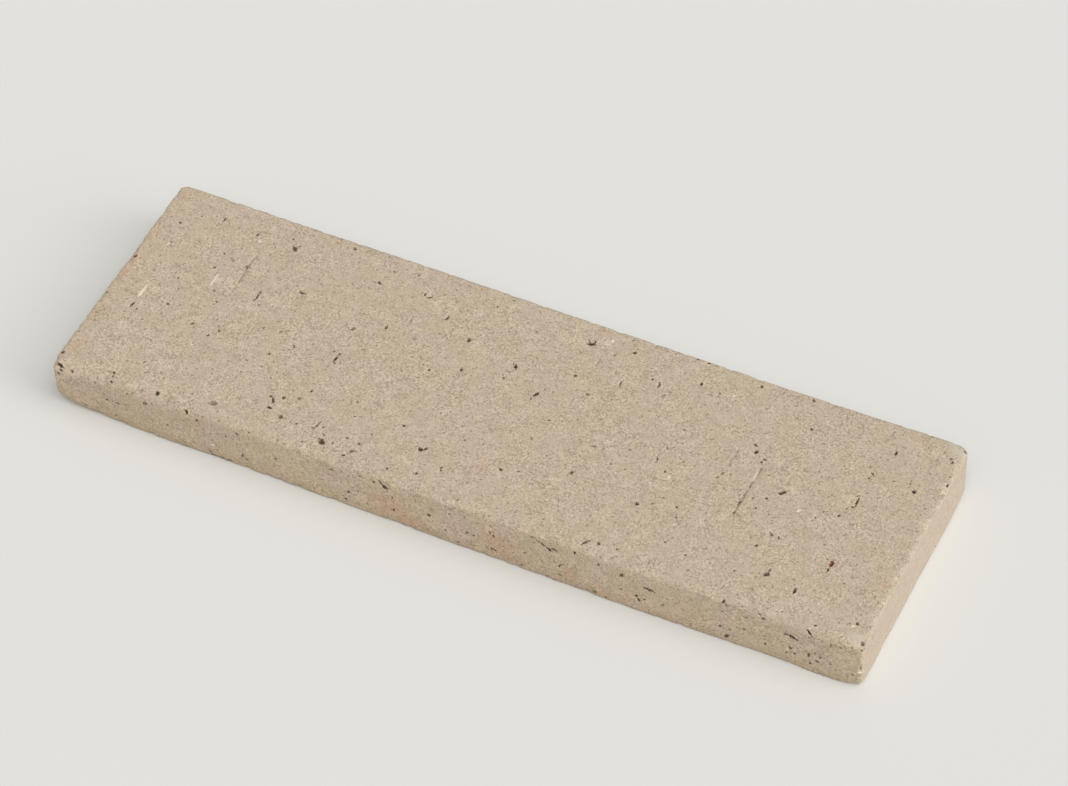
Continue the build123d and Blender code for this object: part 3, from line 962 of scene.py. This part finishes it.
# Each noise has bumps of one size, and some count only from one value to another
DRIFT_SIZE, DRIFT_RANGE = 12.0, (0.38, 0.62)
SANDIER_SIZE, SANDIER_RANGE = 9.0, (0.35, 0.65)
COARSE_SIZE = 4.0
WARM_SAND_SIZE, WARM_SAND_RANGE = 1.2, (0.35, 0.65)
RELIEF_SIZE = 0.9
SPECK_SIZE, SPECK_RANGE = 0.85, (0.635, 0.71)
FINE_SIZE = 0.8
FLECK_SIZE, FLECK_RANGE = 0.8, (0.66, 0.73)
FLECK_SHIFT = (7, 3, 5)
RAGGED_SIZE, RAGGEDNESS = 0.55, 1.6

# How strongly the skins, the sand and its grains show
END_SKIN_SHARE = 0.85
WARM_SHARES = (0.35, 0.85)
SANDIER_SHARES = (0.7, 1.3)
COARSE_GRAIN, FINE_GRAIN = 0.75, 1.05
SPECK_SHARE, FLECK_SHARE = 0.75, 0.65
END_BARE, SMOOTH_BARE = 0.5, 0.85  # how much sand the ends and broken places lack
# Rings of a mark from its rim to its core: over which closeness, ragged and plain, each
# comes in, and how strongly it colours. The brown ring and the dark core are painted shade in the
# pore's hollow.
PALE_RING = ((0.08, 0.22), (0.02, 0.2), 0.35)
SHADED_RING = ((0.2, 0.4), (0.08, 0.25), 0.75)
SHADED_CORE = ((0.36, 0.56), (0.15, 0.35), 1.0)

CLAY_ROUGHNESS = 0.9
CLAY_SPECULAR = 0.25
BUMP_DISTANCE = 0.00028  # metres
BUMP_SAND, BUMP_STRENGTHS = (0.2, 1.0), (0.12, 0.6)
SPECK_HEIGHT = -0.35


def clean_clay(n, where, normal_y, normal_z, is_end, smooth):
    """The clay's colour under its sand: its drifts, its skins, its broken places, and painted
    shade at the sides' foot, their left end and the back arris.
    """
    x, _, z = n.split(where)
    steepness = n.math("ABSOLUTE", normal_y)
    is_long = n.step(steepness, *LONG_FACING)
    drift = n.step(n.noise(where, DRIFT_SIZE, detail=3.0, roughness=0.6), *DRIFT_RANGE)
    colour = n.mix(drift, YELLOWISH, PINKISH)
    colour = n.mix(n.times(is_end, END_SKIN_SHARE), colour, END_SKIN)
    colour = n.tint(is_long, colour, SIDE_TINT)
    # Painted shade on the back's upper arris, which turns away from the light
    is_shaded_back_arris = n.times(n.step(normal_y, *ARRIS_FACING), n.step(normal_z, *ARRIS_UP))
    colour = n.tint(is_shaded_back_arris, colour, BACK_ARRIS_SHADE_TINT)
    # Painted shade: the long sides darken towards the floor, and more at their very foot, where
    # the contact shade falls
    colour = n.tint(n.times(is_long, n.fade(z, *LOW_SHADE_FADE)), colour, LOW_SHADE_TINT)
    is_shaded_foot = n.times(n.step(steepness, *FOOT_FACING), n.fade(z, *FOOT_SHADE_FADE))
    colour = n.tint(is_shaded_foot, colour, FOOT_SHADE_TINT)
    # Painted shade: the long sides darken towards their left end, where the light falls off
    colour = n.tint(n.times(is_long, n.fade(x, *LEFT_SHADE_FADE)), colour, LEFT_SHADE_TINT)
    warm_sand = n.step(n.noise(where, WARM_SAND_SIZE), *WARM_SAND_RANGE, *WARM_SHARES)
    colour = n.mix(n.times(n.attribute("warm"), warm_sand), colour, WARM)
    return n.mix(smooth, colour, n.mix(n.attribute("green"), BROKEN, GREENISH))


def add_marks(n, where, colour):
    """Pale places, and the painted shade of dragged lines and pores. Fine noise makes a pore's
    outline ragged.
    """
    mark, strength = n.attribute("mark"), n.attribute("strength")
    ragged = n.minus(n.noise(where, RAGGED_SIZE, roughness=0.7), 0.5)
    ragged = n.plus(mark, n.times(ragged, RAGGEDNESS))

    def ring(over_ragged, over_plain, share):
        return n.times(
            n.step(ragged, *over_ragged), n.step(mark, *over_plain), strength, share)

    colour = n.mix(n.attribute("pale"), colour, BRIGHT)
    # Painted shade in the grooves of the dragged lines
    colour = n.mix(n.attribute("groove_shade"), colour, SPECK_AND_SHADE)
    colour = n.mix(ring(*PALE_RING), colour, CREAM)
    # The brown ring and dark core are painted shade inside each pore's hollow
    colour = n.mix(ring(*SHADED_RING), colour, SPECK_AND_SHADE)
    return n.mix(ring(*SHADED_CORE), colour, n.mix(n.attribute("warm"), PORE_SHADE, RED_PORE_SHADE))


def clay():
    n = Nodes("fired_clay")
    place = n.add("ShaderNodeTexCoord", output="Object")
    where = n.add("ShaderNodeMapping", {"Vector": place, "Scale": (1 / MM, 1 / MM, 1 / MM)})
    normal = n.add("ShaderNodeNewGeometry", output="Normal")
    normal_x, normal_y, normal_z = n.split(normal)
    is_end = n.step(n.math("ABSOLUTE", normal_x), *END_FACING)
    smooth = n.attribute("smooth")
    bare = n.plus(n.times(is_end, END_BARE), n.times(smooth, SMOOTH_BARE))
    sandy = n.math("SUBTRACT", 1.0, bare, use_clamp=True)

    # The sand lightens and darkens the clay, and has dark and pale grains in it
    colour = clean_clay(n, where, normal_y, normal_z, is_end, smooth)
    coarse = n.times(n.noise(where, COARSE_SIZE, detail=3.0, roughness=1.0), COARSE_GRAIN)
    fine = n.times(n.noise(where, FINE_SIZE, detail=1.0, roughness=1.0), FINE_GRAIN)
    light = n.minus(n.plus(coarse, fine), (COARSE_GRAIN + FINE_GRAIN) / 2)
    sandier = n.step(n.noise(where, SANDIER_SIZE), *SANDIER_RANGE, *SANDIER_SHARES)
    light = n.plus(1.0, n.times(light, sandy, sandier))
    light = n.add("ShaderNodeCombineColor", {0: light, 1: light, 2: light})
    colour = n.mix(1.0, colour, light, "MULTIPLY")
    specks = n.step(n.noise(where, SPECK_SIZE, detail=1.0), *SPECK_RANGE)
    colour = n.mix(n.times(specks, sandy, SPECK_SHARE), colour, SPECK_AND_SHADE)
    elsewhere = n.add("ShaderNodeMapping", {"Vector": where, "Location": FLECK_SHIFT})
    flecks = n.step(n.noise(elsewhere, FLECK_SIZE, detail=1.0), *FLECK_RANGE)
    colour = n.mix(n.times(flecks, sandy, FLECK_SHARE), colour, CREAM)

    n.put(n.shader.inputs["Base Color"], add_marks(n, where, colour))
    n.shader.inputs["Roughness"].default_value = CLAY_ROUGHNESS
    n.shader.inputs["Specular IOR Level"].default_value = CLAY_SPECULAR
    relief = n.noise(where, RELIEF_SIZE, detail=4.0, roughness=0.7)
    height = n.plus(relief, n.times(specks, SPECK_HEIGHT))
    strength = n.step(sandy, *BUMP_SAND, *BUMP_STRENGTHS)
    bump = n.add(
        "ShaderNodeBump", {"Strength": strength, "Distance": BUMP_DISTANCE, "Height": height})
    n.put(n.shader.inputs["Normal"], bump)
    return n.material


# Floor and light

FLOOR_COLOUR = (0.765, 0.755, 0.724)
FLOOR_ROUGHNESS = 0.95
FLOOR_SPECULAR = 0.1
FLOOR_HALF = 4.0  # metres
SKY_STRENGTH = 0.40
# Soft lamps: which way each lies round the paver, from +X towards +Y, how high, and its
# share of the light on the floor. With the sky the shares add up to one.
LAMPS = ((0, 25, 0.135), (8, 60, 0.145), (-60, 60, 0.32))
LAMP_SPREAD = 40


def plain_floor():
    n = Nodes("pale_floor")
    n.shader.inputs["Base Color"].default_value = (*FLOOR_COLOUR, 1)
    n.shader.inputs["Roughness"].default_value = FLOOR_ROUGHNESS
    n.shader.inputs["Specular IOR Level"].default_value = FLOOR_SPECULAR
    return n.material


def make_floor():
    data = bpy.data.meshes.new("floor")
    corners = ((-1, -1), (1, -1), (1, 1), (-1, 1))
    data.from_pydata([(x * FLOOR_HALF, y * FLOOR_HALF, 0) for x, y in corners], [], [(0, 1, 2, 3)])
    data.materials.append(plain_floor())
    floor = bpy.data.objects.new("floor", data)
    bpy.context.scene.collection.objects.link(floor)


def make_light():
    world = bpy.data.worlds.new("studio")
    world.use_nodes = True
    background = world.node_tree.nodes["Background"]
    background.inputs["Color"].default_value = (1.0, 1.0, 1.0, 1)
    background.inputs["Strength"].default_value = SKY_STRENGTH
    bpy.context.scene.world = world
    for number, (azimuth, elevation, share) in enumerate(LAMPS):
        azimuth, elevation = math.radians(azimuth), math.radians(elevation)
        lamp = bpy.data.lights.new(f"lamp_{number}", "SUN")
        lamp.energy = share * math.pi / math.sin(elevation)
        lamp.angle = math.radians(LAMP_SPREAD)
        holder = bpy.data.objects.new(f"lamp_{number}", lamp)
        holder.rotation_mode = "QUATERNION"
        flat = math.cos(elevation)
        towards = Vector((math.cos(azimuth) * flat, math.sin(azimuth) * flat, math.sin(elevation)))
        holder.rotation_quaternion = towards.to_track_quat("Z", "Y")
        bpy.context.scene.collection.objects.link(holder)


bpy.context.scene.view_settings.view_transform = "Standard"
make_camera()
make_floor()
make_light()
paver = make_paver()
paver.data.materials.append(clay())
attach(paver, "root")
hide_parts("paver")
